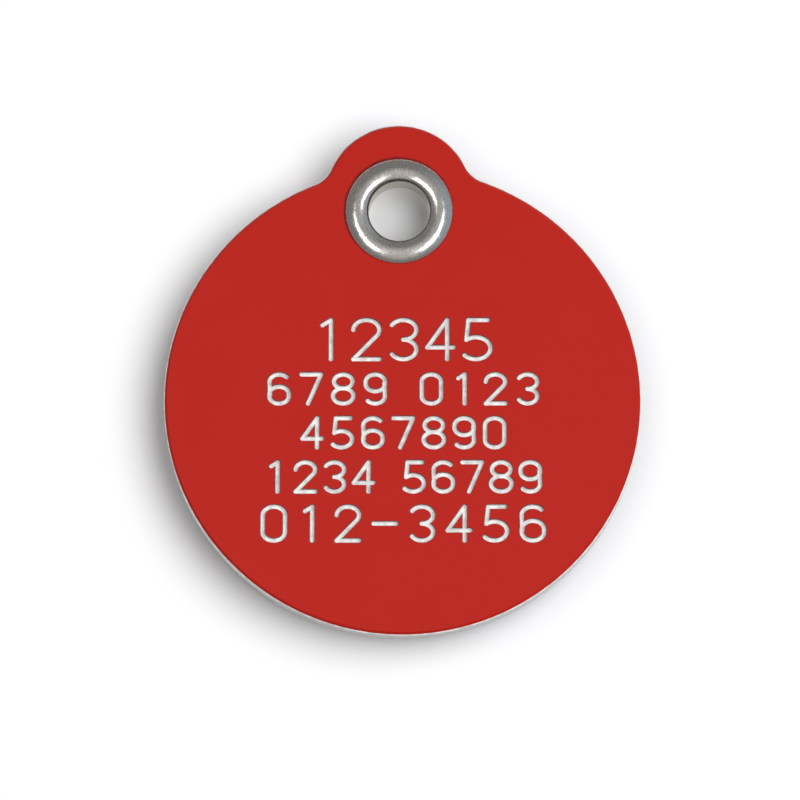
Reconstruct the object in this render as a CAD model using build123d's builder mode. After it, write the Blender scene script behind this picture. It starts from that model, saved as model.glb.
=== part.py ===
"""Round pet identity tag: a three-ply engraving laminate with an ear at its top, and the plated eyelet that
lines the hanging hole in the ear.

The tag is modelled as it hangs from a collar. +Z is up, the engraved face looks along -Y, and the origin is
on the eyelet's axis, halfway through the laminate. Lengths are in millimetres.
"""

from build123d import *

import os
from math import atan2, degrees, sqrt

# Laminate: two coloured caps bonded to a white core
front_cap_thickness = 0.15
core_thickness = 1.30
rear_cap_thickness = 0.15

# Outline of the blank: a disc, and an ear that stands out beyond the disc's rim
disc_diameter = 31.75
ear_radius = 4.95
ear_projection = 2.955
ear_blend_radius = 2.05

# Edges: the front bevel runs through the cap and bares a hairline of the core
front_bevel = 0.22
rear_edge_break = 0.08

# Hanging hole, set back from the ear's crown and lined by the eyelet's barrel
hole_setback = 6.00
barrel_clearance = 0.05

# Eyelet: one drawn cup of sheet metal, arched over in front and clinched behind
bore_diameter = 4.10
eyelet_wall = 0.30
flange_diameter = 7.24
flange_height = 0.45
flange_rim_radius = 0.20
flange_crest_share = 0.45
clinch_diameter = 6.40

# Levels, measured along the eyelet's axis from the middle of the laminate
laminate_thickness = front_cap_thickness + core_thickness + rear_cap_thickness
front_face_level = laminate_thickness / 2
rear_face_level = -laminate_thickness / 2
front_bond_level = front_face_level - front_cap_thickness
rear_bond_level = rear_face_level + rear_cap_thickness

# Places and radii, measured from the eyelet's axis
ear_centre_height = hole_setback - ear_radius
disc_centre_height = hole_setback - ear_projection - disc_diameter / 2
bore_radius = bore_diameter / 2
barrel_radius = bore_radius + eyelet_wall
hole_radius = barrel_radius + barrel_clearance
flange_radius = flange_diameter / 2
clinch_radius = clinch_diameter / 2
clinch_bead_radius = (bore_radius + clinch_radius) / 2
clinch_bead_size = (clinch_radius - bore_radius) / 2

# Flange: a three-centred arch that stands on the engraved face. A broad crown runs over the crest and turns
# down through a small round rim outside and a rounder lip into the bore.
crest_radius = bore_radius + flange_crest_share * (flange_radius - bore_radius)
crest_to_rim = flange_radius - crest_radius
crest_to_bore = crest_radius - bore_radius
crown_radius = ((crest_to_rim - flange_rim_radius) ** 2 + flange_height**2 - flange_rim_radius**2) / (
    2 * (flange_height - flange_rim_radius)
)
crown_drop = crown_radius - flange_height
crown_level = front_face_level - crown_drop
bore_lip_radius = (crown_radius**2 - crest_to_bore**2 - crown_drop**2) / (2 * (crown_radius - crest_to_bore))
rim_angle = degrees(atan2(crown_drop, crest_to_rim - flange_rim_radius))
lip_angle = degrees(atan2(crown_drop, bore_lip_radius - crest_to_bore))

# Hollow under the crown, as deep as the sheet's thickness leaves it
hollow_radius = crown_radius - eyelet_wall
seat_radius = crest_radius + sqrt(hollow_radius**2 - crown_drop**2)
spring_rise = sqrt(hollow_radius**2 - (crest_radius - barrel_radius) ** 2)
spring_level = crown_level + spring_rise
seat_angle = degrees(atan2(crown_drop, seat_radius - crest_radius))
spring_angle = degrees(atan2(spring_rise, barrel_radius - crest_radius))

# The laminate lies in this plane, whose normal points out of the engraved face
laminate_plane = Plane.XZ

# Half section of the eyelet: local x is the distance from its axis, local y points out of the engraved face
eyelet_section_plane = Plane(origin=(0, 0, 0), x_dir=(1, 0, 0), z_dir=(0, 0, -1))

# Blank: the laminate as it is cut, bevelled and drilled, before it is seen as three layers
with BuildPart() as blank:
    with BuildSketch(laminate_plane.offset(rear_face_level)):
        with Locations((0, disc_centre_height)):
            Circle(disc_diameter / 2)
        with Locations((0, ear_centre_height)):
            Circle(ear_radius)
    extrude(amount=laminate_thickness)
    shoulders = edges().filter_by(Axis.Y).group_by(Axis.Z)[-1]
    fillet(shoulders, ear_blend_radius)
    front_edge = faces().sort_by(Axis.Y)[0].outer_wire().edges()
    rear_edge = faces().sort_by(Axis.Y)[-1].outer_wire().edges()
    chamfer(front_edge, front_bevel)
    chamfer(rear_edge, rear_edge_break)
    with Locations(laminate_plane):
        Hole(hole_radius)

with BuildPart() as front_cap:
    add(blank.part)
    split(bisect_by=laminate_plane.offset(front_bond_level), keep=Keep.TOP)
front_cap.part.label = "front_cap"

with BuildPart() as core_sheet:
    add(blank.part)
    split(bisect_by=laminate_plane.offset(front_bond_level), keep=Keep.BOTTOM)
    split(bisect_by=laminate_plane.offset(rear_bond_level), keep=Keep.TOP)
core_sheet.part.label = "core_sheet"

with BuildPart() as rear_cap:
    add(blank.part)
    split(bisect_by=laminate_plane.offset(rear_bond_level), keep=Keep.BOTTOM)
rear_cap.part.label = "rear_cap"

# Eyelet: the flange arches over, hollow inside, onto the engraved face, and the clinch is rolled tight into a
# solid bead on the rear face
with BuildPart() as eyelet:
    with BuildSketch(eyelet_section_plane):
        with BuildLine():
            CenterArc((flange_radius - flange_rim_radius, front_face_level), flange_rim_radius, 0, rim_angle)
            CenterArc((crest_radius, crown_level), crown_radius, rim_angle, lip_angle - rim_angle)
            CenterArc((bore_radius + bore_lip_radius, front_face_level), bore_lip_radius, lip_angle, 180 - lip_angle)
            Line((bore_radius, front_face_level), (bore_radius, rear_face_level))
            CenterArc((clinch_bead_radius, rear_face_level), clinch_bead_size, 180, 180)
            Line((clinch_radius, rear_face_level), (barrel_radius, rear_face_level))
            Line((barrel_radius, rear_face_level), (barrel_radius, spring_level))
            CenterArc((crest_radius, crown_level), hollow_radius, seat_angle, spring_angle - seat_angle)
            Line((seat_radius, front_face_level), (flange_radius, front_face_level))
        make_face()
    revolve(axis=Axis.Y)
eyelet.part.label = "eyelet"

os.makedirs("parts", exist_ok=True)
export_step(front_cap.part, "parts/front_cap.step")
export_step(core_sheet.part, "parts/core_sheet.step")
export_step(rear_cap.part, "parts/rear_cap.step")
export_step(eyelet.part, "parts/eyelet.step")
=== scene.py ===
"""Looks of the round pet id tag: engraved red laminate with a white core, and a plated eyelet in its ear.

Every piece is modelled flat on a bench, where x runs to the reader's right, y runs from the disc to the ear
and z comes out of the engraved face, and is then stood up into the frame of the solids. The bench's origin is
the frame's origin: on the eyelet's axis, halfway through the laminate.
"""

import logging
import math
from contextlib import contextmanager
from dataclasses import dataclass, field, replace
from enum import Enum
from typing import Any, Callable, Iterator

import bmesh
import bpy
from bpy.types import Material, Node, NodeSocket, NodeTree, Object
from mathutils import Matrix, Vector


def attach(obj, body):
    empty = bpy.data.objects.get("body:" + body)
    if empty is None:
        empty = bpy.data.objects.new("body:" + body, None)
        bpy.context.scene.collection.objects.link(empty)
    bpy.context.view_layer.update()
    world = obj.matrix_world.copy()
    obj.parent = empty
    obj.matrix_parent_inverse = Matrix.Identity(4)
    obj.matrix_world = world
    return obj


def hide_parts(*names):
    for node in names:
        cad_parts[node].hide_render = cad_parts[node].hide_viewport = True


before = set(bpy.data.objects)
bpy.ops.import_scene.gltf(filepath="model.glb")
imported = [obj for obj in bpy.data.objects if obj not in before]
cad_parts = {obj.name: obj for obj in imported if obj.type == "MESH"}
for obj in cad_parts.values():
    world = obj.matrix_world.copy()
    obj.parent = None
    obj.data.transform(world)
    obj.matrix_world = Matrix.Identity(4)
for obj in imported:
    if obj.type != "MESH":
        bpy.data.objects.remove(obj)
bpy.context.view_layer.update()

LOG = logging.getLogger("pet_id_tag")

Point = tuple[float, float]
"""A place on the bench."""

Colour = tuple[float, float, float, float]
"""Red, green, blue and alpha."""

Triple = tuple[float, float, float]
"""A place, a direction or a light in three parts."""

Feed = NodeSocket | float | tuple[float, ...]
"""What a node's input takes: an output to link from, or a constant."""

Inputs = dict[str | int, Feed]
"""A node's inputs by name or number."""

MM = 0.001
"""One millimetre in the scene's metres."""

SLACK = MM / 1000
"""Points nearer to each other than this are one point."""

PLANE_SLACK = SLACK / 10
"""Points nearer to a cutting plane than this lie on it."""

FRONT_FACE = 0.80 * MM
"""Level of the engraved face, half of the laminate's thickness in front of its middle."""

DISC_CENTRE = -12.83 * MM
"""Height of the disc's middle, measured from the eyelet's axis."""

EAR_CENTRE = 1.05 * MM
"""Height of the ear's middle, measured from the eyelet's axis."""

BORE_RADIUS = 2.05 * MM
"""Radius of the eyelet's straight bore."""

FLANGE_RADIUS = 3.62 * MM
"""Radius of the eyelet's flange on the engraved face."""

CLINCH_RADIUS = 3.20 * MM
"""Radius of the eyelet's clinched bead on the rear face."""

NOISE_MIDDLE = 0.5
"""Value that a noise varies about."""

NOISE_SPREAD = (0.35, 0.65)
"""Range that holds most values of a noise."""

BODY = "root"
"""The one rigid body that every piece of the tag rides on."""


class Ply(Enum):
    """Bonded layers of the laminate from front to rear, by the name of the solid that each one stands for."""

    FRONT_CAP = "front_cap"
    CORE = "core_sheet"
    REAR_CAP = "rear_cap"


class Turn(Enum):
    """Ways round an arc, as seen by the reader."""

    LEFT = 1
    RIGHT = -1


class Curve(Enum):
    """Ways between the two ends of a range, by Blender's names."""

    STRAIGHT = "LINEAR"
    SOFT = "SMOOTHSTEP"


def pick(piece: Object) -> None:
    """Select one object alone and make it active.

    Args:
        piece: The object to work on.
    """
    bpy.ops.object.select_all(action="DESELECT")
    piece.select_set(True)
    bpy.context.view_layer.objects.active = piece


@contextmanager
def editing(piece: Object) -> Iterator[None]:
    """Keep an object in edit mode for the length of a with block.

    Args:
        piece: The mesh object to edit.

    Returns:
        Nothing while the block runs.
    """
    pick(piece)
    bpy.ops.object.mode_set(mode="EDIT")
    try:
        yield
    finally:
        bpy.ops.object.mode_set(mode="OBJECT")


def select_edges(piece: Object, wanted: Callable[[Vector, Vector], bool]) -> None:
    """Select the edges whose two ends pass a test, in edit mode.

    Args:
        piece: The mesh object that is being edited.
        wanted: Test of the two ends of an edge.
    """
    bpy.ops.mesh.select_mode(type="EDGE")
    bpy.ops.mesh.select_all(action="DESELECT")
    mesh = bmesh.from_edit_mesh(piece.data)
    for edge in mesh.edges:
        edge.select_set(wanted(edge.verts[0].co, edge.verts[1].co))
    bmesh.update_edit_mesh(piece.data)


def apply_modifier(piece: Object, kind: str, **settings: Any) -> None:
    """Add a modifier to a piece, set it and apply it.

    Args:
        piece: The mesh object to change.
        kind: Blender's name of the modifier type.
        settings: Values of the modifier's own properties.
    """
    pick(piece)
    modifier = piece.modifiers.new(kind.title(), kind)
    for name, value in settings.items():
        setattr(modifier, name, value)
    bpy.ops.object.modifier_apply(modifier=modifier.name)


def settle() -> None:
    """Apply the place, turn and size of the selected object to its mesh."""
    bpy.ops.object.transform_apply(location=True, rotation=True, scale=True)


def face_outwards() -> None:
    """Turn all faces of the mesh that is being edited outwards."""
    bpy.ops.mesh.select_all(action="SELECT")
    bpy.ops.mesh.normals_make_consistent(inside=False)


def stand_up(piece: Object) -> None:
    """Turn a piece up by a quarter about the x axis, so that its y runs up, and apply the turn.

    A finished piece goes from the bench into the frame of the solids this way.

    Args:
        piece: The mesh object, lying on the bench.
    """
    pick(piece)
    piece.rotation_euler = (math.radians(90), 0, 0)
    settle()


def clear_slivers(piece: Object) -> None:
    """Dissolve the edges and faces of a piece that a cut left too small to see.

    Args:
        piece: The mesh object to clean.
    """
    with editing(piece):
        bpy.ops.mesh.select_mode(type="VERT")
        bpy.ops.mesh.select_all(action="SELECT")
        bpy.ops.mesh.dissolve_degenerate(threshold=SLACK)


def smooth(piece: Object, angle_deg: float) -> None:
    """Shade a piece smooth, and leave edges crisp that turn by more than an angle."""
    pick(piece)
    bpy.ops.object.shade_smooth_by_angle(angle=math.radians(angle_deg))


@dataclass(frozen=True)
class Arc:
    """A stretch of a drawn line that turns about a centre."""

    centre: Point
    sweep_deg: float
    turn: Turn
    steps: int


@dataclass(frozen=True)
class Run:
    """A straight stretch of a drawn line."""

    to: Point


@dataclass(frozen=True)
class Wire:
    """A line on the bench, from a start point through arcs and runs."""

    start: Point
    stretches: tuple[Arc | Run, ...]

    def scaled(self, size: float) -> "Wire":
        """Scale the line about the bench's origin.

        Args:
            size: Factor on all its lengths.

        Returns:
            The scaled line.
        """
        def sized(point: Point) -> Point:
            """The point, scaled."""
            return point[0] * size, point[1] * size

        stretches = tuple(
            Run(sized(stretch.to)) if isinstance(stretch, Run)
            else replace(stretch, centre=sized(stretch.centre))
            for stretch in self.stretches
        )
        return Wire(sized(self.start), stretches)

    def draw(self, name: str) -> Object:
        """Draw the line as a wire mesh in the bench's plane.

        Args:
            name: Name of the new object.

        Returns:
            The wire object, at the origin.
        """
        bpy.ops.object.select_all(action="DESELECT")
        bpy.ops.mesh.primitive_plane_add(size=MM)
        wire = bpy.context.object
        wire.name = name
        with editing(wire):
            bpy.ops.mesh.select_mode(type="VERT")
            bpy.ops.mesh.select_all(action="SELECT")
            bpy.ops.mesh.merge(type="CENTER")
            bpy.ops.transform.translate(value=(self.start[0], self.start[1], 0))
            pen = Vector((self.start[0], self.start[1], 0))
            for stretch in self.stretches:
                pen = self._draw_stretch(stretch, pen)
            bpy.ops.mesh.select_all(action="SELECT")
            bpy.ops.mesh.remove_doubles(threshold=SLACK)
        return wire

    @staticmethod
    def _draw_stretch(stretch: Arc | Run, pen: Vector) -> Vector:
        """Carry the selected end of the line along one stretch.

        Args:
            stretch: The arc or run to draw.
            pen: Where the line ends so far.

        Returns:
            Where the line ends now.
        """
        if isinstance(stretch, Run):
            goal = Vector((stretch.to[0], stretch.to[1], 0))
            bpy.ops.mesh.extrude_region_move(TRANSFORM_OT_translate={"value": goal - pen})
            return goal
        centre = Vector((stretch.centre[0], stretch.centre[1], 0))
        angle = math.radians(stretch.sweep_deg) * stretch.turn.value
        bpy.ops.mesh.spin(steps=stretch.steps, angle=-angle, center=centre, axis=(0, 0, 1))
        return centre + Matrix.Rotation(angle, 3, "Z") @ (pen - centre)


# Node groups and finishes


def add_node(tree: NodeTree, kind: str, inputs: Inputs | None = None, **settings: Any) -> Node:
    """Place a node in a tree, with its settings, constants and links.

    Args:
        tree: The node tree of a material, world or group.
        kind: Blender's name of the node type.
        inputs: Input sockets by name or number, each with a constant or an output socket to link from.
        settings: Values of the node's own properties.

    Returns:
        The new node.
    """
    node = tree.nodes.new(kind)
    for name, value in settings.items():
        setattr(node, name, value)
    for key, value in (inputs or {}).items():
        if isinstance(value, NodeSocket):
            tree.links.new(value, node.inputs[key])
        else:
            node.inputs[key].default_value = value
    return node


def noise(tree: NodeTree, place: Feed, scale: Feed, detail: float) -> NodeSocket:
    """Lay noise on coordinates, at a scale in patches per metre and with finer layers in it."""
    inputs: Inputs = {"Vector": place, "Scale": scale, "Detail": detail}
    return add_node(tree, "ShaderNodeTexNoise", inputs).outputs["Fac"]


def worked(tree: NodeTree, operation: str, *values: Feed) -> NodeSocket:
    """Work out a number from others by one of Blender's math operations."""
    return add_node(tree, "ShaderNodeMath", dict(enumerate(values)), operation=operation).outputs["Value"]


def ranged(tree: NodeTree, value: Feed, low: Feed, high: Feed, to_low: float = 0.0,
           to_high: float = 1.0, curve: Curve = Curve.STRAIGHT) -> NodeSocket:
    """Carry the range of a value over into another range by a curve, and hold it at the ends."""
    inputs: Inputs = {"Value": value, "From Min": low, "From Max": high, "To Min": to_low, "To Max": to_high}
    return add_node(tree, "ShaderNodeMapRange", inputs, interpolation_type=curve.value).outputs["Result"]


def mixed(tree: NodeTree, share: Feed, first: Feed, second: Feed) -> NodeSocket:
    """Mix two colours, with a share of the second one."""
    inputs: Inputs = {"Factor": share, "A": first, "B": second}
    return add_node(tree, "ShaderNodeMix", inputs, data_type="RGBA").outputs["Result"]


def bumped(tree: NodeTree, height: Feed, depth: float, under: NodeSocket | None = None) -> NodeSocket:
    """Raise a surface into bumps.

    Args:
        tree: The node tree to work in.
        height: Height of the surface, from 0 to 1.
        depth: Real size of a height of 1.
        under: Normal of the larger bumps that these lie on.

    Returns:
        The bumps' normal.
    """
    bumps = add_node(tree, "ShaderNodeBump", {"Height": height, "Distance": depth, "Strength": 1.0})
    if under is not None:
        tree.links.new(under, bumps.inputs["Normal"])
    return bumps.outputs["Normal"]


class Effect(Enum):
    """Surface effects that several finishes share, by the name of their node group."""

    MOTTLE = "mottle"
    SCRATCHES = "hair_scratches"
    # Ring mask for the painted shade round the eyelet and at its lip, and for the worn bore.
    RING = "shade_and_wear_ring"
    LEVEL = "level_faces"


class EffectShelf:
    """Builds each shared effect once and hands out its node group."""

    cloud_detail: float = 3.0
    grain_detail: float = 2.0
    scratch_turn_deg: float = 38.0
    scratch_stretch: float = 0.06
    ring_patches_per_m: float = 1.4 / MM
    steepest: float = 0.35
    shallowest: float = 0.55

    def __init__(self) -> None:
        """Make the shelf's node groups."""
        self.groups: dict[Effect, NodeTree] = {
            Effect.MOTTLE: self._mottle(),
            Effect.SCRATCHES: self._scratches(),
            Effect.RING: self._ring(),
            Effect.LEVEL: self._level(),
        }

    @staticmethod
    def _new_group(effect: Effect, vector: str, values: tuple[str, ...],
                   outputs: tuple[str, ...]) -> tuple[NodeTree, Any, Any]:
        """Make an empty node group with its sockets.

        Args:
            effect: The effect that the group makes.
            vector: Name of its first input, a vector.
            values: Names of its other inputs, which are numbers.
            outputs: Names of its outputs, which are numbers.

        Returns:
            The group's node tree, the sockets that its inputs come from and those that its outputs go to.
        """
        tree = bpy.data.node_groups.new(effect.value, "ShaderNodeTree")
        tree.interface.new_socket(vector, in_out="INPUT", socket_type="NodeSocketVector")
        for name in values:
            tree.interface.new_socket(name, in_out="INPUT", socket_type="NodeSocketFloat")
        for name in outputs:
            tree.interface.new_socket(name, in_out="OUTPUT", socket_type="NodeSocketFloat")
        source = tree.nodes.new("NodeGroupInput")
        goal = tree.nodes.new("NodeGroupOutput")
        return tree, source.outputs, goal.inputs

    def _mottle(self) -> NodeTree:
        """Soft clouding with fine grain in it.

        Returns:
            A group that puts out a broad tone and a fine grain, both around one half.
        """
        tree, source, goal = self._new_group(
            Effect.MOTTLE, "Vector", ("Cloud Scale", "Grain Scale"), ("Cloud", "Grain"))
        for name, detail in (("Cloud", self.cloud_detail), ("Grain", self.grain_detail)):
            tone = noise(tree, source["Vector"], source[f"{name} Scale"], detail)
            tree.links.new(tone, goal[name])
        return tree

    def _scratches(self) -> NodeTree:
        """Fine straight scratches that lean across the face.

        Returns:
            A group that puts out a mask, 1 on a scratch.
        """
        tree, source, goal = self._new_group(Effect.SCRATCHES, "Vector", ("Scale", "Fineness"), ("Mask",))
        turn = (0, math.radians(self.scratch_turn_deg), 0)
        turned = add_node(tree, "ShaderNodeMapping",
                          {"Vector": source["Vector"], "Rotation": turn,
                           "Scale": (1, 1, self.scratch_stretch)})
        streaks = noise(tree, turned.outputs["Vector"], source["Scale"], self.grain_detail)
        distance = worked(tree, "ABSOLUTE", worked(tree, "SUBTRACT", streaks, NOISE_MIDDLE))
        mask = ranged(tree, distance, 0.0, source["Fineness"], 1.0, 0.0)
        tree.links.new(mask, goal["Mask"])
        return tree

    def _ring(self) -> NodeTree:
        """A soft ring about the eyelet's axis, a little uneven along its length.

        Returns:
            A group that puts out a mask, 1 between the inner and the outer radius.
        """
        tree, source, goal = self._new_group(
            Effect.RING, "Vector", ("Inner", "Outer", "Softness", "Unevenness"), ("Mask",))
        across = add_node(tree, "ShaderNodeVectorMath", {0: source["Vector"], 1: (1, 0, 1)},
                          operation="MULTIPLY")
        radius = add_node(tree, "ShaderNodeVectorMath", {0: across.outputs["Vector"]}, operation="LENGTH")
        patches = noise(tree, source["Vector"], self.ring_patches_per_m, self.grain_detail)
        mask = worked(tree, "SUBTRACT", 1.0, worked(tree, "MULTIPLY", patches, source["Unevenness"]))
        for side, outwards in (("Inner", "SUBTRACT"), ("Outer", "ADD")):
            end = worked(tree, outwards, source[side], source["Softness"])
            inside = ranged(tree, radius.outputs["Value"], end, source[side], curve=Curve.SOFT)
            mask = worked(tree, "MULTIPLY", mask, inside)
        tree.links.new(mask, goal["Mask"])
        return tree

    def _level(self) -> NodeTree:
        """Faces that lie level with the sheet, apart from walls that the tools have cut across it.

        Returns:
            A group that puts out a mask, 1 on level faces and 0 on steep walls.
        """
        tree, source, goal = self._new_group(Effect.LEVEL, "Normal", (), ("Mask",))
        slope = add_node(tree, "ShaderNodeSeparateXYZ", {0: source["Normal"]}).outputs["Y"]
        mask = ranged(tree, worked(tree, "ABSOLUTE", slope), self.steepest, self.shallowest)
        tree.links.new(mask, goal["Mask"])
        return tree

    def place(self, tree: NodeTree, effect: Effect, inputs: Inputs) -> Any:
        """Put an effect into a material's node tree and hand out the effect's outputs by name."""
        return add_node(tree, "ShaderNodeGroup", inputs, node_tree=self.groups[effect]).outputs


def new_material(name: str) -> tuple[Material, NodeTree, Node]:
    """Make a material with nodes.

    Args:
        name: Name of the material.

    Returns:
        The material, its node tree and its Principled BSDF.
    """
    material = bpy.data.materials.new(name)
    material.use_nodes = True
    tree = material.node_tree
    return material, tree, tree.nodes["Principled BSDF"]


@dataclass(frozen=True)
class CapFinish:
    """Satin coloured cap of the laminate, with painted shade: darker on the walls cut through it, and a thin
    dark ring round the eyelet.
    """

    seat_radius: float
    colour: Colour = (0.480, 0.0145, 0.0075, 1.0)
    deep_colour: Colour = (0.466, 0.0120, 0.0055, 1.0)
    # Painted shade: walls cut steeply through the cap are coloured darker than its face.
    cut_wall_shade_colour: Colour = (0.220, 0.045, 0.050, 1.0)
    # Painted shade: a thin dark ring just outside the eyelet's foot, set off up and to the left, stands in
    # for shade at the join.
    painted_shade_colour: Colour = (0.040, 0.006, 0.010, 1.0)
    painted_shade_width: float = 0.03 * MM
    painted_shade_softness: float = 0.05 * MM
    painted_shade_shift: Triple = (-0.05 * MM, 0.0, 0.09 * MM)
    painted_shade_gaps: float = 0.8
    roughness_low: float = 0.30
    roughness_high: float = 0.42
    scuffed_roughness: float = 0.15
    specular: float = 0.15
    clouds_per_m: float = 0.25 / MM
    grain_per_m: float = 9.0 / MM
    grain_depth: float = 0.004 * MM
    scratches_per_m: float = 1.5 / MM
    scratch_fineness: float = 0.012

    def material(self, shelf: EffectShelf, name: str) -> Material:
        """Make the cap's material.

        Args:
            shelf: The shared effects.
            name: Name of the material.

        Returns:
            The material.
        """
        material, tree, shader = new_material(name)
        shader.inputs["Specular IOR Level"].default_value = self.specular
        place = add_node(tree, "ShaderNodeTexCoord").outputs
        mottle = shelf.place(tree, Effect.MOTTLE,
                             {"Vector": place["Object"], "Cloud Scale": self.clouds_per_m,
                              "Grain Scale": self.grain_per_m})
        scratches = shelf.place(tree, Effect.SCRATCHES,
                                {"Vector": place["Object"], "Scale": self.scratches_per_m,
                                 "Fineness": self.scratch_fineness})
        level = shelf.place(tree, Effect.LEVEL, {"Normal": place["Normal"]})
        # Painted shade round the eyelet's foot, on a ring shifted up and to the left.
        above = add_node(tree, "ShaderNodeVectorMath", {0: place["Object"], 1: self.painted_shade_shift},
                         operation="SUBTRACT")
        painted_shade = shelf.place(tree, Effect.RING,
                            {"Vector": above.outputs["Vector"], "Inner": 0.0,
                             "Outer": self.seat_radius + self.painted_shade_width, "Softness": self.painted_shade_softness,
                             "Unevenness": self.painted_shade_gaps})
        cap = mixed(tree, mottle["Cloud"], self.colour, self.deep_colour)
        cap_with_painted_shade = mixed(tree, painted_shade["Mask"], cap, self.painted_shade_colour)
        # Painted shade on the steep cut walls, mixed by the level mask.
        colour = mixed(tree, level["Mask"], self.cut_wall_shade_colour, cap_with_painted_shade)
        gloss = ranged(tree, mottle["Grain"], 0.0, 1.0, self.roughness_low, self.roughness_high)
        roughness = worked(tree, "MULTIPLY_ADD", scratches["Mask"], self.scuffed_roughness, gloss)
        tree.links.new(colour, shader.inputs["Base Color"])
        tree.links.new(roughness, shader.inputs["Roughness"])
        tree.links.new(bumped(tree, mottle["Grain"], self.grain_depth), shader.inputs["Normal"])
        return material


@dataclass(frozen=True)
class CoreFinish:
    """Matt white core of the laminate: patchy on the floors of the engraving, even on the cut edge."""

    colour: Colour = (0.95, 0.95, 0.91, 1.0)
    dull_colour: Colour = (0.65, 0.63, 0.62, 1.0)
    edge_colour: Colour = (0.86, 0.86, 0.84, 1.0)
    edge_dull_colour: Colour = (0.76, 0.76, 0.75, 1.0)
    roughness_low: float = 0.50
    roughness_high: float = 0.70
    clouds_per_m: float = 2.2 / MM
    grain_per_m: float = 14.0 / MM
    tool_marks_per_m: float = 7.0 / MM
    tool_mark_stretch: float = 0.08
    tool_mark_depth: float = 0.010 * MM

    def material(self, shelf: EffectShelf, name: str) -> Material:
        """Make the core's material.

        Args:
            shelf: The shared effects.
            name: Name of the material.

        Returns:
            The material.
        """
        material, tree, shader = new_material(name)
        place = add_node(tree, "ShaderNodeTexCoord").outputs
        mottle = shelf.place(tree, Effect.MOTTLE,
                             {"Vector": place["Object"], "Cloud Scale": self.clouds_per_m,
                              "Grain Scale": self.grain_per_m})
        level = shelf.place(tree, Effect.LEVEL, {"Normal": place["Normal"]})
        across = add_node(tree, "ShaderNodeMapping",
                          {"Vector": place["Object"], "Scale": (1, self.tool_mark_stretch, 1)})
        marks = shelf.place(tree, Effect.MOTTLE,
                            {"Vector": across.outputs["Vector"], "Grain Scale": self.tool_marks_per_m})
        floor = mixed(tree, ranged(tree, mottle["Cloud"], *NOISE_SPREAD), self.colour, self.dull_colour)
        edge = mixed(tree, marks["Grain"], self.edge_colour, self.edge_dull_colour)
        colour = mixed(tree, level["Mask"], edge, floor)
        roughness = ranged(tree, mottle["Grain"], 0.0, 1.0, self.roughness_low, self.roughness_high)
        tree.links.new(colour, shader.inputs["Base Color"])
        tree.links.new(roughness, shader.inputs["Roughness"])
        tree.links.new(bumped(tree, marks["Grain"], self.tool_mark_depth), shader.inputs["Normal"])
        return material


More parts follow.
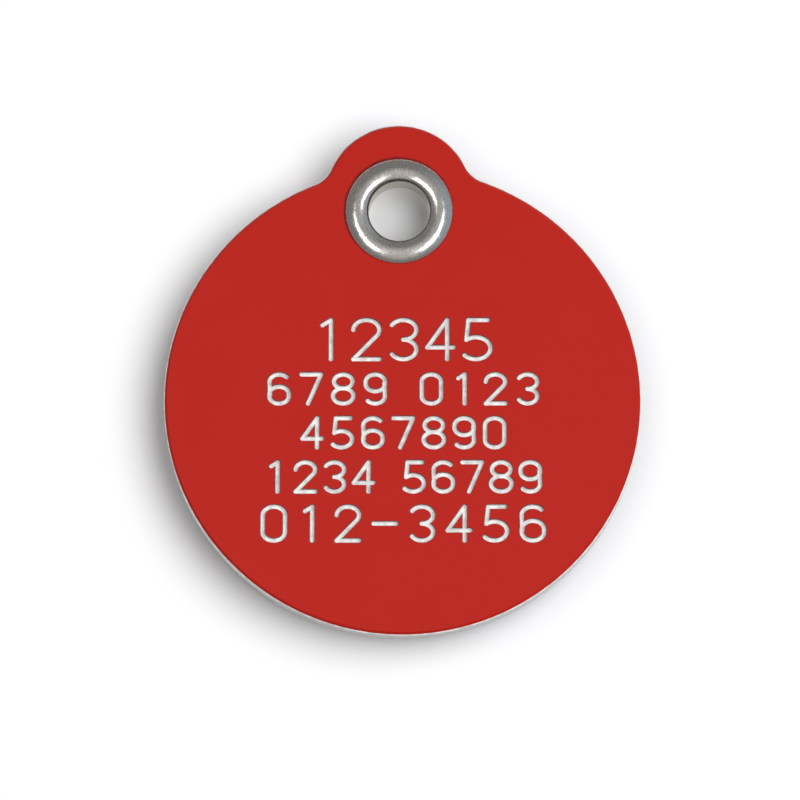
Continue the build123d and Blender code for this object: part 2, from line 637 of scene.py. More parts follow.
@dataclass(frozen=True)
class PlateFinish:
    """Bright nickel plate on the eyelet, scuffed in front, worn warm in the bore, with painted shade at its
    lip.
    """

    colour: Colour = (0.665, 0.63, 0.575, 1.0)
    dull_colour: Colour = (0.525, 0.505, 0.48, 1.0)
    worn_colour: Colour = (0.66, 0.64, 0.56, 1.0)
    rubbed_colour: Colour = (0.48, 0.46, 0.39, 1.0)
    # Painted shade: a dark ring where the flange's lip turns into the bore.
    painted_shade_colour: Colour = (0.085, 0.078, 0.070, 1.0)
    roughness_low: float = 0.12
    roughness_high: float = 0.22
    scuffed_roughness: float = 0.12
    worn_roughness: float = 0.26
    dents_per_m: float = 1.6 / MM
    dent_depth: float = 0.013 * MM
    pits_per_m: float = 9.0 / MM
    pit_depth: float = 0.005 * MM
    scratches_per_m: float = 5.0 / MM
    scratch_fineness: float = 0.02
    rubs_per_m: float = 10.0 / MM
    rub_stretch: float = 0.12
    rub_depth: float = 0.006 * MM
    face_y: float = -FRONT_FACE
    bore_radius: float = BORE_RADIUS
    bore_gaps: float = 0.3
    lip_painted_shade_radius: float = 2.13 * MM
    lip_gaps: float = 0.4
    softness: float = 0.06 * MM

    def material(self, shelf: EffectShelf, name: str) -> Material:
        """Make the plated metal's material.

        Args:
            shelf: The shared effects.
            name: Name of the material.

        Returns:
            The material.
        """
        material, tree, shader = new_material(name)
        shader.inputs["Metallic"].default_value = 1.0
        place = add_node(tree, "ShaderNodeTexCoord").outputs["Object"]
        mottle = shelf.place(tree, Effect.MOTTLE,
                             {"Vector": place, "Cloud Scale": self.dents_per_m,
                              "Grain Scale": self.pits_per_m})
        scratches = shelf.place(tree, Effect.SCRATCHES,
                                {"Vector": place, "Scale": self.scratches_per_m,
                                 "Fineness": self.scratch_fineness})
        around = add_node(tree, "ShaderNodeMapping",
                          {"Vector": place, "Scale": (self.rub_stretch, 1, self.rub_stretch)})
        rubs = shelf.place(tree, Effect.MOTTLE,
                           {"Vector": around.outputs["Vector"], "Grain Scale": self.rubs_per_m})["Grain"]
        worn, painted_shade = self._zones(tree, shelf, place)
        plate = mixed(tree, ranged(tree, mottle["Grain"], *NOISE_SPREAD), self.colour, self.dull_colour)
        rubbed = mixed(tree, rubs, self.worn_colour, self.rubbed_colour)
        # The dark lip ring is painted shade; the warm bore is wear.
        colour = mixed(tree, painted_shade, mixed(tree, worn, plate, rubbed), self.painted_shade_colour)
        gloss = ranged(tree, mottle["Cloud"], *NOISE_SPREAD, self.roughness_low, self.roughness_high)
        scuffed = worked(tree, "MULTIPLY_ADD", scratches["Mask"], self.scuffed_roughness, gloss)
        roughness = add_node(tree, "ShaderNodeMix", {"Factor": worn, "A": scuffed, "B": self.worn_roughness})
        dents = bumped(tree, mottle["Cloud"], self.dent_depth)
        pits = bumped(tree, mottle["Grain"], self.pit_depth, dents)
        grooves = bumped(tree, worked(tree, "MULTIPLY", rubs, worn), self.rub_depth, pits)
        tree.links.new(colour, shader.inputs["Base Color"])
        tree.links.new(roughness.outputs["Result"], shader.inputs["Roughness"])
        tree.links.new(grooves, shader.inputs["Normal"])
        return material

    def _zones(self, tree: NodeTree, shelf: EffectShelf,
               place: NodeSocket) -> tuple[NodeSocket, NodeSocket]:
        """Mark where a ring has worn the bore, and where shade is painted at the flange's lip.

        Args:
            tree: The material's node tree.
            shelf: The shared effects.
            place: The Object coordinates.

        Returns:
            The masks of the worn bore and of the painted shade.
        """
        depth = add_node(tree, "ShaderNodeSeparateXYZ", {0: place}).outputs["Y"]
        behind = ranged(tree, depth, self.face_y - self.softness, self.face_y, curve=Curve.SOFT)
        in_front = worked(tree, "SUBTRACT", 1.0, behind)
        bore = shelf.place(tree, Effect.RING,
                           {"Vector": place, "Inner": 0.0, "Outer": self.bore_radius,
                            "Softness": self.softness, "Unevenness": self.bore_gaps})
        lip = shelf.place(tree, Effect.RING,
                          {"Vector": place, "Inner": self.bore_radius, "Outer": self.lip_painted_shade_radius,
                           "Softness": self.softness, "Unevenness": self.lip_gaps})
        worn = worked(tree, "MULTIPLY", bore["Mask"], behind)
        painted_shade = worked(tree, "MULTIPLY", lip["Mask"], in_front)
        return worn, painted_shade


# Pieces


@dataclass(frozen=True)
class Cutter:
    """Tapered engraving cutter, run below the engraved face.

    It dwells where a line ends, which leaves a hair wider and deeper mark, and each further line of a figure
    runs a hair deeper than the last.
    """

    tip_width: float = 0.19 * MM
    wall_angle_deg: float = 15.0
    depth: float = 0.30 * MM
    overrun: float = 0.10 * MM
    dwell_width_share: float = 1.03
    dwell_depth: float = 0.008 * MM
    line_step: float = 0.003 * MM
    sides: int = 20

    @property
    def reach(self) -> float:
        """Height of the cutter from its tip to above the face."""
        return self.depth + self.overrun

    @property
    def top_width(self) -> float:
        """Width of the cutter at the top of its reach."""
        return self.tip_width + 2 * self.reach * math.tan(math.radians(self.wall_angle_deg))


@dataclass(frozen=True)
class EngravedRow:
    """One row of plain figures, centred on the disc."""

    figures: str
    height: float
    figure_height: float
    width: float


FIGURE_WIDTH_SHARE = 0.5
"""Width of a figure's drawing cell, in heights, before it is widened."""


def figure_wires(figure: str) -> list[Wire]:
    """Draw a figure as single lines in a cell one half wide and one high.

    Args:
        figure: A digit or a dash.

    Returns:
        The figure's lines.
    """
    left, right = Turn.LEFT, Turn.RIGHT
    top, bottom = (0.25, 0.75), (0.25, 0.25)

    def on(centre: Point, angle_deg: float, radius: float = 0.25) -> Point:
        """Point on a circle about a centre."""
        angle = math.radians(angle_deg)
        return centre[0] + radius * math.cos(angle), centre[1] + radius * math.sin(angle)

    def line(start: Point, end: Point) -> Wire:
        """Straight line from start to end."""
        return Wire(start, (Run(end),))

    bowl = (0.22, 0.28)
    figures: dict[str, list[Wire]] = {
        "0": [Wire((0.5, 0.75), (Arc(top, 180, left, 18), Run((0.0, 0.25)), Arc(bottom, 180, left, 18),
                                 Run((0.5, 0.75))))],
        "1": [line((0.12, 0.87), (0.28, 1.0)), line((0.28, 1.0), (0.28, 0.0))],
        "2": [Wire((0.0, 0.75), (Arc(top, 215, right, 20), Run((0.0, 0.0)))), line((0.0, 0.0), (0.5, 0.0))],
        "3": [Wire(on(top, 150), (Arc(top, 240, right, 22),)),
              Wire((0.25, 0.5), (Arc(bottom, 240, right, 22),))],
        "4": [line((0.38, 1.0), (0.0, 0.30)), line((0.0, 0.30), (0.5, 0.30)), line((0.38, 1.0), (0.38, 0.0))],
        "5": [line((0.45, 1.0), (0.08, 1.0)), line((0.08, 1.0), on(bowl, 130, 0.28)),
              Wire(on(bowl, 130, 0.28), (Arc(bowl, 270, right, 24),))],
        "6": [Wire(on(top, 40), (Arc(top, 140, left, 14), Run((0.015, 0.30)))),
              Wire((0.0, 0.33), (Arc((0.25, 0.33), 180, right, 18), Run((0.5, 0.25)),
                                 Arc(bottom, 180, right, 18), Run((0.0, 0.33))))],
        "7": [line((0.0, 1.0), (0.5, 1.0)), line((0.5, 1.0), (0.17, 0.0))],
        "8": [Wire((0.25, 1.0), (Arc((0.25, 0.76), 360, left, 28),)),
              Wire((0.25, 0.0), (Arc((0.25, 0.265), 360, left, 33),))],
        "9": [Wire(on(bottom, 220), (Arc(bottom, 140, left, 14), Run((0.485, 0.70)))),
              Wire((0.5, 0.67), (Arc((0.25, 0.67), 180, right, 18), Run((0.0, 0.75)),
                                 Arc(top, 180, right, 18), Run((0.5, 0.67))))],
        "-": [line((0.0, 0.50), (0.5, 0.50))],
    }
    return figures[figure]


@dataclass
class Engraving:
    """Rows of plain figures, cut through the red cap into the white core."""

    rows: tuple[EngravedRow, ...] = (
        EngravedRow("12345", 4.05 * MM, 2.67 * MM, 11.6 * MM),
        EngravedRow("6789 0123", 0.69 * MM, 1.97 * MM, 17.8 * MM),
        EngravedRow("4567890", -2.28 * MM, 1.97 * MM, 13.4 * MM),
        EngravedRow("1234 56789", -5.26 * MM, 1.97 * MM, 18.1 * MM),
        EngravedRow("012-3456", -8.40 * MM, 2.27 * MM, 18.6 * MM),
    )
    cutter: Cutter = field(default_factory=Cutter)
    disc_centre: float = DISC_CENTRE
    face_level: float = FRONT_FACE
    widen: float = 1.30
    space_share: float = 0.75
    turn_deg: float = -1.0
    shift_right: float = 0.06 * MM

    def cutters(self) -> Object:
        """Model everything that the cutter sweeps, as one object on the bench.

        Returns:
            The cutter's swept shapes, joined.
        """
        swept: list[Object] = []
        models: dict[tuple[str, float], Object] = {}
        for row in self.rows:
            for figure, x in self._places(row):
                key = (figure, row.figure_height)
                if key not in models:
                    models[key] = self._figure(figure, row.figure_height)
                swept.append(self._copy_to(models[key], x, row.height - row.figure_height / 2))
        for model in models.values():
            bpy.data.objects.remove(model)
        pick(swept[0])
        for shape in swept:
            shape.select_set(True)
        bpy.ops.object.join()
        cutters = bpy.context.object
        cutters.name = "engraving_cutters"
        cutters.rotation_euler = (0, 0, math.radians(self.turn_deg))
        cutters.location = (self.shift_right, self.disc_centre, 0)
        settle()
        return cutters

    def _places(self, row: EngravedRow) -> list[tuple[str, float]]:
        """Space a row's figures evenly across its width.

        Args:
            row: The row to set out.

        Returns:
            Each figure with the left edge of its cell, measured from the row's middle.
        """
        cell = row.figure_height * FIGURE_WIDTH_SHARE * self.widen
        steps = sum(self.space_share if figure == " " else 1.0 for figure in row.figures) - 1
        pitch = (row.width - cell) / steps
        x = -row.width / 2
        places: list[tuple[str, float]] = []
        for figure in row.figures:
            if figure == " ":
                x += pitch * self.space_share
                continue
            places.append((figure, x))
            x += pitch
        return places

    def _figure(self, figure: str, height: float) -> Object:
        """Model what the cutter sweeps for one figure, at the bench's origin.

        Args:
            figure: A digit or a dash.
            height: Height of the figure between the middles of its lines.

        Returns:
            The figure's swept shapes, as one solid.
        """
        shapes: list[Object] = []
        rounded: list[Vector] = []
        for number, wire in enumerate(figure_wires(figure)):
            drawn = wire.scaled(height).draw("figure_line")
            self._widen(drawn)
            ends = [vertex.co.copy() for vertex in drawn.data.vertices
                    if sum(vertex.index in edge.vertices for edge in drawn.data.edges) == 1]
            self._sweep(drawn, number * self.cutter.line_step)
            shapes.append(drawn)
            for end in ends:
                if all((end - other).length > SLACK for other in rounded):
                    rounded.append(end)
                    shapes.append(self._round_end(end))
        model = shapes[0]
        model.name = "figure_model"
        for shape in shapes[1:]:
            apply_modifier(model, "BOOLEAN", operation="UNION", object=shape, solver="MANIFOLD")
            bpy.data.objects.remove(shape)
        return model

    def _widen(self, drawn: Object) -> None:
        """Widen a figure's line about the cell's left edge.

        Args:
            drawn: The wire object of the line.
        """
        with editing(drawn):
            bpy.ops.mesh.select_all(action="SELECT")
            bpy.ops.transform.resize(value=(self.widen, 1, 1), center_override=(0, 0, 0))

    def _sweep(self, drawn: Object, sink: float) -> None:
        """Thicken a line into the tapered groove that the cutter leaves.

        Args:
            drawn: The wire object of the line, which becomes the groove's solid.
            sink: How much deeper this line is cut than the figure's first.
        """
        floor = self.face_level - self.cutter.depth - sink
        with editing(drawn):
            bpy.ops.mesh.select_all(action="SELECT")
            bpy.ops.transform.translate(value=(0, 0, floor))
            bpy.ops.mesh.extrude_region_move(TRANSFORM_OT_translate={"value": (0, 0, self.cutter.reach)})
        taper = drawn.vertex_groups.new(name="taper")
        middle = floor + self.cutter.reach / 2
        top = [vertex.index for vertex in drawn.data.vertices if vertex.co.z > middle]
        tip = [vertex.index for vertex in drawn.data.vertices if vertex.co.z <= middle]
        taper.add(top, 1.0, "REPLACE")
        taper.add(tip, self.cutter.tip_width / self.cutter.top_width, "REPLACE")
        apply_modifier(drawn, "SOLIDIFY", thickness=self.cutter.top_width, offset=0.0, use_even_offset=True,
                       vertex_group="taper")
        with editing(drawn):
            face_outwards()

    def _round_end(self, end: Vector) -> Object:
        """Model the cutter itself where a line starts or stops.

        Args:
            end: The end of the line.

        Returns:
            A tapered round plug.
        """
        bpy.ops.object.select_all(action="DESELECT")
        middle = self.face_level - self.cutter.depth + self.cutter.reach / 2
        widening = self.cutter.dwell_width_share / 2
        bpy.ops.mesh.primitive_cone_add(vertices=self.cutter.sides, radius1=widening * self.cutter.tip_width,
                                        radius2=widening * self.cutter.top_width,
                                        depth=self.cutter.reach + 2 * self.cutter.dwell_depth,
                                        location=(end.x, end.y, middle))
        plug = bpy.context.object
        settle()
        return plug

    @staticmethod
    def _copy_to(model: Object, x: float, y: float) -> Object:
        """Copy a figure to its place in a row.

        Args:
            model: The figure at the origin.
            x: Left edge of its cell.
            y: Its foot.

        Returns:
            The copy, with its own mesh.
        """
        pick(model)
        bpy.ops.object.duplicate(linked=False)
        copy = bpy.context.object
        copy.location = (x, y, 0)
        settle()
        return copy


@dataclass
class Laminate:
    """Three bonded plies: disc with an ear, bevelled in front, drilled for the eyelet and engraved."""

    disc_radius: float = 15.875 * MM
    disc_centre: float = DISC_CENTRE
    ear_radius: float = 4.95 * MM
    ear_centre: float = EAR_CENTRE
    blend_radius: float = 2.05 * MM
    disc_steps: int = 420
    ear_steps: int = 48
    blend_steps: int = 16
    front_face: float = FRONT_FACE
    front_bond: float = 0.65 * MM
    rear_bond: float = -0.65 * MM
    rear_face: float = -FRONT_FACE
    front_bevel: float = 0.22 * MM
    rear_edge_break: float = 0.08 * MM
    hole_radius: float = 2.40 * MM
    drill_sides: int = 128
    drill_length_factor: float = 3.0
    flange_radius: float = FLANGE_RADIUS
    clinch_radius: float = CLINCH_RADIUS
    score_pitch: float = 0.79 * MM
    score_lines: int = 13
    crisp_angle_deg: float = 20.0
    # Painted shade on the rear cap's steep cut walls, a little darker than its face.
    rear_cut_wall_shade_colour: Colour = (0.400, 0.016, 0.010, 1.0)
    engraving: Engraving = field(default_factory=Engraving)

    def outline(self) -> Wire:
        """Outline of the blank, from the ear's crown round by the right.

        Returns:
            The closed line.
        """
        gap = self.ear_centre - self.disc_centre
        to_disc = self.disc_radius + self.blend_radius
        to_ear = self.ear_radius + self.blend_radius
        along = (gap ** 2 + to_disc ** 2 - to_ear ** 2) / (2 * gap)
        across = math.sqrt(to_disc ** 2 - along ** 2)
        blend_height = self.disc_centre + along
        ear_angle = math.degrees(math.atan2(blend_height - self.ear_centre, across))
        disc_angle = math.degrees(math.atan2(along, across))
        ear = (0.0, self.ear_centre)
        blend_sweep = disc_angle - ear_angle
        return Wire(
            (0.0, self.ear_centre + self.ear_radius),
            (
                Arc(ear, 90 - ear_angle, Turn.RIGHT, self.ear_steps),
                Arc((across, blend_height), blend_sweep, Turn.LEFT, self.blend_steps),
                Arc((0.0, self.disc_centre), 180 + 2 * disc_angle, Turn.RIGHT, self.disc_steps),
                Arc((-across, blend_height), blend_sweep, Turn.LEFT, self.blend_steps),
                Arc(ear, 90 - ear_angle, Turn.RIGHT, self.ear_steps),
            ),
        )

    def blank(self) -> Object:
        """Cut and bevel the blank, before it is drilled.

        Returns:
            The blank on the bench.
        """
        blank = self.outline().draw("blank")
        with editing(blank):
            bpy.ops.mesh.select_all(action="SELECT")
            bpy.ops.transform.translate(value=(0, 0, self.rear_face))
            bpy.ops.mesh.edge_face_add()
            bpy.ops.mesh.extrude_region_move(
                TRANSFORM_OT_translate={"value": (0, 0, self.front_face - self.rear_face)})
            face_outwards()
            self._bevel_rim(blank, self.front_face, self.front_bevel)
            self._bevel_rim(blank, self.rear_face, self.rear_edge_break)
        return blank

    @staticmethod
    def _bevel_rim(blank: Object, level: float, size: float) -> None:
        """Bevel the rim of the face at one level of the blank, which is being edited."""
        select_edges(blank, lambda a, b: abs(a.z - level) < SLACK and abs(b.z - level) < SLACK)
        bpy.ops.mesh.bevel(offset=size, offset_type="OFFSET", segments=1, affect="EDGES")

    def _slice(self, blank: Object, ply: Ply, low: float, high: float) -> Object:
        """Cut one ply out of a copy of the blank.

        Args:
            blank: The whole blank.
            ply: The ply to cut.
            low: Its rear level.
            high: Its front level.

        Returns:
            The ply on the bench.
        """
        pick(blank)
        bpy.ops.object.duplicate(linked=False)
        sheet = bpy.context.object
        sheet.name = f"tag_{ply.value}"
        with editing(sheet):
            for level, waste in ((high, "clear_outer"), (low, "clear_inner")):
                if self.rear_face < level < self.front_face:
                    bpy.ops.mesh.select_all(action="SELECT")
                    bpy.ops.mesh.bisect(plane_co=(0, 0, level), plane_no=(0, 0, 1), use_fill=True,
                                        threshold=PLANE_SLACK, **{waste: True})
            face_outwards()
        return sheet

    def _score(self, sheet: Object) -> None:
        """Divide a ply's faces into small squares where the engraving goes, so that each cut stays simple.

        Args:
            sheet: The ply on the bench.
        """
        with editing(sheet):
            for step in range(-self.score_lines, self.score_lines + 1):
                for place, normal in (((step * self.score_pitch, 0, 0), (1, 0, 0)),
                                      ((0, self.disc_centre + step * self.score_pitch, 0), (0, 1, 0))):
                    bpy.ops.mesh.select_all(action="SELECT")
                    bpy.ops.mesh.bisect(plane_co=place, plane_no=normal, threshold=PLANE_SLACK)

    def build(self) -> dict[Ply, Object]:
        """Model the three plies, drilled and engraved, and stand them up.

        Returns:
            The plies' objects.
        """
        blank = self.blank()
        levels = (self.front_face, self.front_bond, self.rear_bond, self.rear_face)
        plies = {ply: self._slice(blank, ply, low, high) for ply, high, low in zip(Ply, levels, levels[1:])}
        bpy.data.objects.remove(blank)
        bpy.ops.object.select_all(action="DESELECT")
        drill_length = self.drill_length_factor * (self.front_face - self.rear_face)
        bpy.ops.mesh.primitive_cylinder_add(vertices=self.drill_sides, radius=self.hole_radius,
                                            depth=drill_length)
        drill = bpy.context.object
        cutters = self.engraving.cutters()
        for ply, sheet in plies.items():
            apply_modifier(sheet, "BOOLEAN", operation="DIFFERENCE", object=drill, solver="MANIFOLD")
            if ply is not Ply.REAR_CAP:
                self._score(sheet)
                apply_modifier(sheet, "BOOLEAN", operation="DIFFERENCE", object=cutters, solver="MANIFOLD")
                clear_slivers(sheet)
            stand_up(sheet)
            smooth(sheet, self.crisp_angle_deg)
        bpy.data.objects.remove(drill)
        bpy.data.objects.remove(cutters)
        return plies

    def dress(self, plies: dict[Ply, Object], shelf: EffectShelf) -> None:
        """Give the plies their finishes and tie them to the solids.

        Args:
            plies: The plies' objects.
            shelf: The shared effects.
        """
        finishes = {
            Ply.FRONT_CAP: CapFinish(self.flange_radius).material(shelf, "satin_red_front"),
            Ply.CORE: CoreFinish().material(shelf, "cut_white_core"),
            Ply.REAR_CAP: CapFinish(self.clinch_radius, cut_wall_shade_colour=self.rear_cut_wall_shade_colour).material(
                shelf, "satin_red_rear"),
        }
        for ply, sheet in plies.items():
            sheet.data.materials.clear()
            sheet.data.materials.append(finishes[ply])
            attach(sheet, BODY)
            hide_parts(ply.value)


@dataclass
class Eyelet:
    """One drawn metal eyelet: arched flange, barrel and clinched bead."""

    bore_radius: float = BORE_RADIUS
    wall: float = 0.30 * MM
    flange_radius: float = FLANGE_RADIUS
    flange_height: float = 0.45 * MM
    rim_radius: float = 0.20 * MM
    crest_share: float = 0.45
    clinch_radius: float = CLINCH_RADIUS
    front_face: float = FRONT_FACE
    rear_face: float = -FRONT_FACE
    rim_steps: int = 12
    crown_steps: int = 32
    lip_steps: int = 14
    bead_steps: int = 28
    hollow_steps: int = 16
    turns: int = 192
    crisp_angle_deg: float = 40.0

    def section(self) -> Wire:
        """Half section of the eyelet, with x for the distance from its axis.

        The flange is a three-centred arch: a broad crown that turns down through a small round rim outside
        and a rounder lip into the bore. It is hollow under the crown and stands on the engraved face.

        Returns:
            The closed line.
        """
        barrel = self.bore_radius + self.wall
        crest = self.bore_radius + self.crest_share * (self.flange_radius - self.bore_radius)
        to_rim = self.flange_radius - crest
        to_bore = crest - self.bore_radius
        crown = (((to_rim - self.rim_radius) ** 2 + self.flange_height ** 2 - self.rim_radius ** 2)
                 / (2 * (self.flange_height - self.rim_radius)))
        drop = crown - self.flange_height
        lip = (crown ** 2 - to_bore ** 2 - drop ** 2) / (2 * (crown - to_bore))
        hollow = crown - self.wall
        to_seat = math.sqrt(hollow ** 2 - drop ** 2)
        spring = math.sqrt(hollow ** 2 - (crest - barrel) ** 2)
        rim_angle = math.degrees(math.atan2(drop, to_rim - self.rim_radius))
        lip_angle = math.degrees(math.atan2(drop, lip - to_bore))
        seat_angle = math.degrees(math.atan2(drop, to_seat))
        spring_angle = math.degrees(math.atan2(spring, barrel - crest))
        rim_centre = (self.flange_radius - self.rim_radius, self.front_face)
        crown_centre = (crest, self.front_face - drop)
        bead = (self.bore_radius + self.clinch_radius) / 2
        return Wire(
            (self.flange_radius, self.front_face),
            (
                Arc(rim_centre, rim_angle, Turn.LEFT, self.rim_steps),
                Arc(crown_centre, lip_angle - rim_angle, Turn.LEFT, self.crown_steps),
                Arc((self.bore_radius + lip, self.front_face), 180 - lip_angle, Turn.LEFT, self.lip_steps),
                Run((self.bore_radius, self.rear_face)),
                Arc((bead, self.rear_face), 180, Turn.LEFT, self.bead_steps),
                Run((barrel, self.rear_face)),
                Run((barrel, crown_centre[1] + spring)),
                Arc(crown_centre, spring_angle - seat_angle, Turn.RIGHT, self.hollow_steps),
                Run((self.flange_radius, self.front_face)),
            ),
        )

    def build(self) -> Object:
        """Draw the half section and spin it about the eyelet's axis.

        Returns:
            The eyelet's object, stood up.
        """
        shell = self.section().draw("tag_eyelet")
        stand_up(shell)
        with editing(shell):
            bpy.ops.mesh.select_all(action="SELECT")
            bpy.ops.mesh.spin(steps=self.turns, angle=math.radians(360), center=(0, 0, 0), axis=(0, 0, 1))
            bpy.ops.mesh.select_all(action="SELECT")
            bpy.ops.mesh.remove_doubles(threshold=SLACK)
            face_outwards()
        stand_up(shell)
        smooth(shell, self.crisp_angle_deg)
        return shell

    def dress(self, shell: Object, shelf: EffectShelf) -> None:
        """Give the eyelet its finish and tie it to its solid.

        Args:
            shell: The eyelet's object.
            shelf: The shared effects.
        """
        shell.data.materials.clear()
        shell.data.materials.append(PlateFinish().material(shelf, "bright_nickel"))
        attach(shell, BODY)
        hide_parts("eyelet")


# Studio


class Facing(Enum):
    """Sides that a sheet behind the tag can face, each as a turn about the x axis in degrees."""

    TAG = 90
    CARD = -90


@dataclass(frozen=True)
class Lamp:
    """A soft oval lamp, aimed at the tag."""

    name: str
    direction: Triple
    distance: float
    width: float
    height: float
    power: float
    in_shading: bool = True
    in_reflections: bool = True

    def place(self, target: Vector) -> None:
        """Put the lamp in the scene.

        Args:
            target: The point that it faces.
        """
        data = bpy.data.lights.new(self.name, "AREA")
        data.shape = "ELLIPSE"
        data.size = self.width
        data.size_y = self.height
        data.energy = self.power
        lamp = bpy.data.objects.new(self.name, data)
        bpy.context.scene.collection.objects.link(lamp)
        towards = Vector(self.direction).normalized()
        lamp.location = target + towards * self.distance
        lamp.rotation_euler = towards.to_track_quat("Z", "Y").to_euler()
        lamp.visible_diffuse = self.in_shading
        lamp.visible_glossy = self.in_reflections


@dataclass(frozen=True)
class Glow:
    """A broad patch of the surround that is lighter than the rest."""

    direction: Triple
    edge: float
    light: Triple


@dataclass
class Studio:
    """Pale card behind the tag, its liners, soft lamps, a soft surround and the camera."""

    card_level: float = 3.00 * MM
    card_radius: float = 300 * MM
    bore_card_level: float = 1.50 * MM
    bore_card_radius: float = 2.90 * MM
    # Painted light: the bore card glows to lift the eyelet's shade on it.
    bore_card_painted_light: float = 0.10
    card_colour: Colour = (1.0, 1.0, 1.0, 1.0)
    sheet_sides: int = 96
    liner_level: float = 0.90 * MM
    disc_liner_radius: float = 15.80 * MM
    ear_liner_radius: float = 4.90 * MM
    ear_liner_height: float = EAR_CENTRE
    # Near black, so that the liners deepen the tag's shadow on the card.
    liner_shade_colour: Colour = (0.02, 0.02, 0.02, 1.0)
    surround: Triple = (0.27, 0.27, 0.27)
    glows: tuple[Glow, ...] = (
        Glow((0.0, -0.97, -0.25), 0.68, (0.37, 0.36, 0.35)),
        Glow((0.80, -0.60, 0.10), 0.55, (0.17, 0.22, 0.285)),
        Glow((0.0, 1.0, 0.0), 0.0, (0.35, 0.35, 0.35)),
    )
    target: Triple = (0.0, 0.0, DISC_CENTRE)
    camera_distance: float = 300 * MM
    camera_drop_deg: float = 11.65
    camera_roll_deg: float = 1.01
    sensor_width_in_mm: float = 36.0
    nearest_seen: float = 10 * MM
    farthest_seen: float = 20000 * MM
    frame_width: float = 53.29 * MM
    slide_right: float = -0.166 * MM
    slide_up: float = 0.079 * MM
    lamps: tuple[Lamp, ...] = (
        Lamp("key_lamp", (0.46, -0.88, 0.0), 800 * MM, 600 * MM, 880 * MM, 4.80, in_reflections=False),
        Lamp("fill_lamp", (-0.50, -0.86, 0.0), 400 * MM, 320 * MM, 320 * MM, 0.12, in_reflections=False),
        Lamp("left_lamp", (-0.38, -0.92, -0.06), 320 * MM, 84 * MM, 206 * MM, 0.18, in_shading=False),
        Lamp("right_lamp", (0.38, -0.92, -0.06), 320 * MM, 84 * MM, 206 * MM, 0.18, in_shading=False),
        Lamp("rear_lamp", (-0.45, 0.80, 0.40), 400 * MM, 220 * MM, 220 * MM, 0.80),
    )

    def build(self) -> None:
        """Set up the card, its liners, the surround, the lamps and the camera."""
        self._card()
        self._liners()
        self._surround()
        for lamp in self.lamps:
            lamp.place(Vector(self.target))
        self._camera()
        bpy.context.scene.view_settings.view_transform = "Standard"

    def _card(self) -> None:
        """Stand a pale card behind the tag and a small one behind the bore, clear to light from the rear."""
        for name, radius, height, level, glow in (
                ("pale_card", self.card_radius, self.target[2], self.card_level, 0.0),
                ("bore_card", self.bore_card_radius, 0.0, self.bore_card_level, self.bore_card_painted_light)):
            card = self._sheet(name, radius, height, level, Facing.TAG, self.card_colour, glow)
            card.visible_shadow = False
            card.visible_diffuse = False

    def _liners(self) -> None:
        """Keep the tag's red rear from tinting its shadow, with near-black sheets that only the card meets,
        which also deepen that shadow.
        """
        for name, radius, height in (("disc_liner", self.disc_liner_radius, self.target[2]),
                                     ("ear_liner", self.ear_liner_radius, self.ear_liner_height)):
            liner = self._sheet(name, radius, height, self.liner_level, Facing.CARD, self.liner_shade_colour)
            liner.visible_camera = False
            liner.visible_glossy = False
            liner.visible_transmission = False
            liner.visible_shadow = False

    def _sheet(self, name: str, radius: float, height: float, level: float, facing: Facing, colour: Colour,
               glow: float = 0.0) -> Object:
        """Stand a matt round sheet behind the tag, clear from its rear side.

        Args:
            name: Name of the sheet and its material.
            radius: Radius of the sheet.
            height: Height of its middle.
            level: Its distance behind the middle of the tag.
            facing: What its front side faces.
            colour: Its colour.
            glow: Strength of painted light on its front, an emission that lifts the shade on it.

        Returns:
            The sheet's object.
        """
        bpy.ops.object.select_all(action="DESELECT")
        bpy.ops.mesh.primitive_circle_add(vertices=self.sheet_sides, radius=radius, fill_type="NGON",
                                          rotation=(math.radians(facing.value), 0, 0),
                                          location=(0, level, height))
        sheet = bpy.context.object
        sheet.name = name
        settle()
        material, tree, shader = new_material(name)
        output = tree.nodes["Material Output"]
        tree.nodes.remove(shader)
        matt = add_node(tree, "ShaderNodeBsdfDiffuse", {"Color": colour})
        # Painted light: emission that lifts the shade on the sheet's front.
        light = add_node(tree, "ShaderNodeEmission", {"Strength": glow})
        front = add_node(tree, "ShaderNodeAddShader", {0: matt.outputs[0], 1: light.outputs[0]})
        rear = add_node(tree, "ShaderNodeBsdfTransparent")
        side = add_node(tree, "ShaderNodeNewGeometry").outputs["Backfacing"]
        both = add_node(tree, "ShaderNodeMixShader", {0: side, 1: front.outputs[0], 2: rear.outputs[0]})
        tree.links.new(both.outputs[0], output.inputs["Surface"])
        sheet.data.materials.append(material)
        return sheet

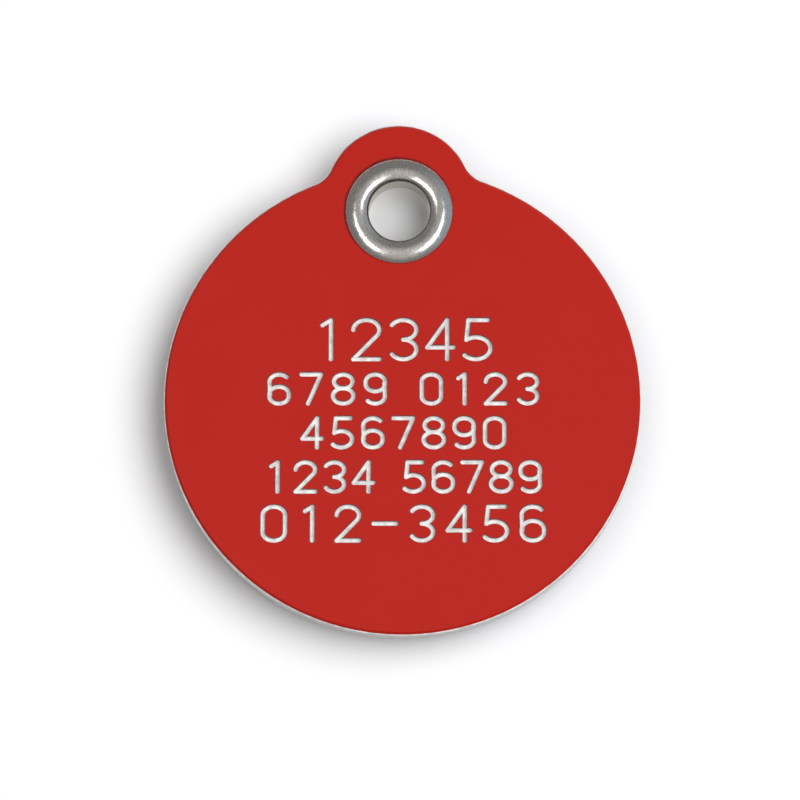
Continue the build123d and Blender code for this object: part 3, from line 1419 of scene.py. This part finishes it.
    def _surround(self) -> None:
        """Light the tag softly from all round, with lighter patches in front, to the right and behind."""
        world = bpy.data.worlds.new("soft_surround")
        bpy.context.scene.world = world
        world.use_nodes = True
        tree = world.node_tree
        towards = add_node(tree, "ShaderNodeTexCoord").outputs["Generated"]
        light: Feed = self.surround
        for glow in self.glows:
            facing = add_node(tree, "ShaderNodeVectorMath",
                              {0: towards, 1: Vector(glow.direction).normalized()}, operation="DOT_PRODUCT")
            patch = ranged(tree, facing.outputs["Value"], glow.edge, 1.0, curve=Curve.SOFT)
            light = add_node(tree, "ShaderNodeVectorMath", {0: patch, 1: glow.light, 2: light},
                             operation="MULTIPLY_ADD").outputs["Vector"]
        tree.links.new(light, tree.nodes["Background"].inputs["Color"])

    def _camera(self) -> None:
        """Set the camera below the tag's centre, looking up at the engraved face."""
        drop = math.radians(self.camera_drop_deg)
        away = Vector((0, -math.cos(drop), -math.sin(drop)))
        roll = Matrix.Rotation(math.radians(-self.camera_roll_deg), 3, "Z")
        look = away.to_track_quat("Z", "Y").to_matrix() @ roll
        data = bpy.data.cameras.new("camera")
        data.sensor_width = self.sensor_width_in_mm
        data.lens = self.sensor_width_in_mm * self.camera_distance / self.frame_width
        data.clip_start = self.nearest_seen
        data.clip_end = self.farthest_seen
        camera = bpy.data.objects.new("camera", data)
        bpy.context.scene.collection.objects.link(camera)
        slide = look @ Vector((self.slide_right, self.slide_up, 0))
        stand = Vector(self.target) + away * self.camera_distance + slide
        camera.matrix_world = Matrix.Translation(stand) @ look.to_4x4()
        bpy.context.scene.camera = camera


def main() -> None:
    """Build the tag's pieces in order, dress them and set up the studio."""
    logging.basicConfig(level=logging.INFO, format="%(name)s: %(message)s")
    shelf = EffectShelf()
    laminate = Laminate()
    plies = laminate.build()
    laminate.dress(plies, shelf)
    eyelet = Eyelet()
    shell = eyelet.build()
    eyelet.dress(shell, shelf)
    for piece in (*plies.values(), shell):
        LOG.info("%s: %d faces", piece.name, len(piece.data.polygons))
    Studio().build()


if __name__ == "__main__":
    main()
